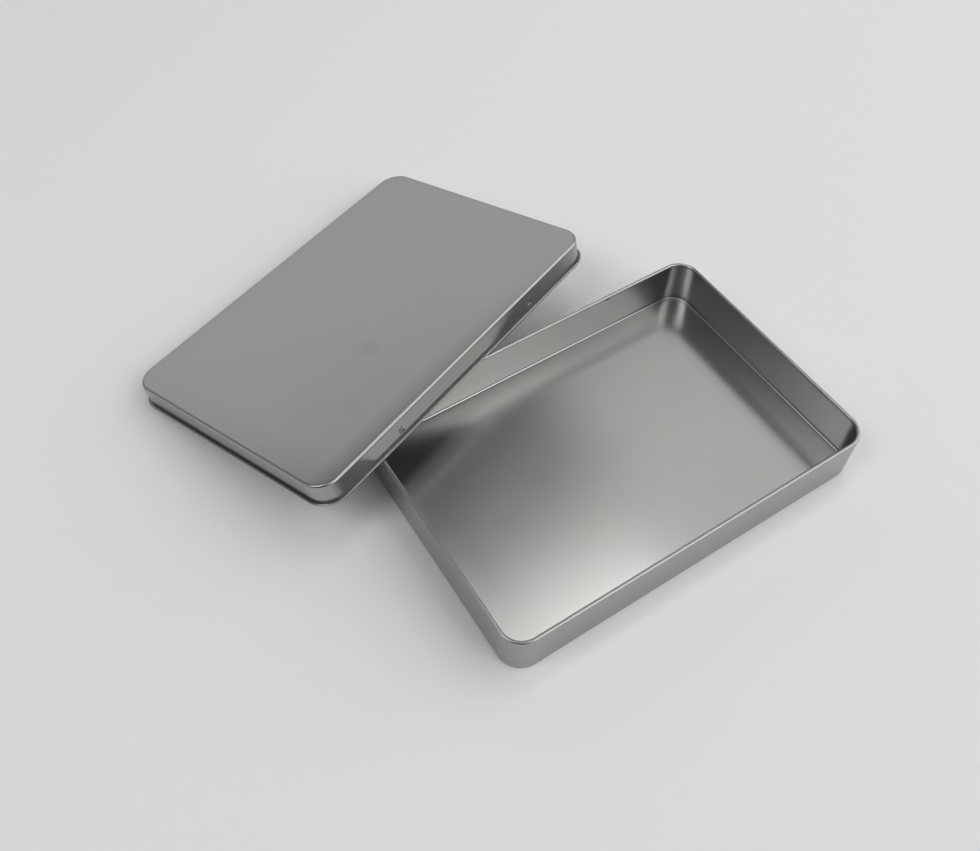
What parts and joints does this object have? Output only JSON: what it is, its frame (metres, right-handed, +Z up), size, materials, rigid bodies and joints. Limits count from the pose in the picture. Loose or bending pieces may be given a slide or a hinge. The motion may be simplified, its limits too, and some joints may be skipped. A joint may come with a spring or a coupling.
{
  "type": "slip lid tin",
  "caption": "Shallow rectangular tinplate tin, open and empty, with its slip-on lid leaning across one corner of the tray.",
  "frame": {"origin": "middle of the tray's flat underside, where the tray stands on the ground", "axes": "+X along the tray's long sides, -Y out of its front long wall, +Z up out of the open tray"},
  "size_m": [0.264, 0.2811, 0.0381],
  "materials": {
    "tray_tinplate": "satin tin-plated steel with a fine rolling grain, unprinted",
    "lid_tinplate": "satin tin-plated steel with a fine rolling grain, unprinted"
  },
  "bodies": {
    "root": {"tray": "tray_tinplate", "lid": "lid_tinplate"}
  },
  "joints": []
}
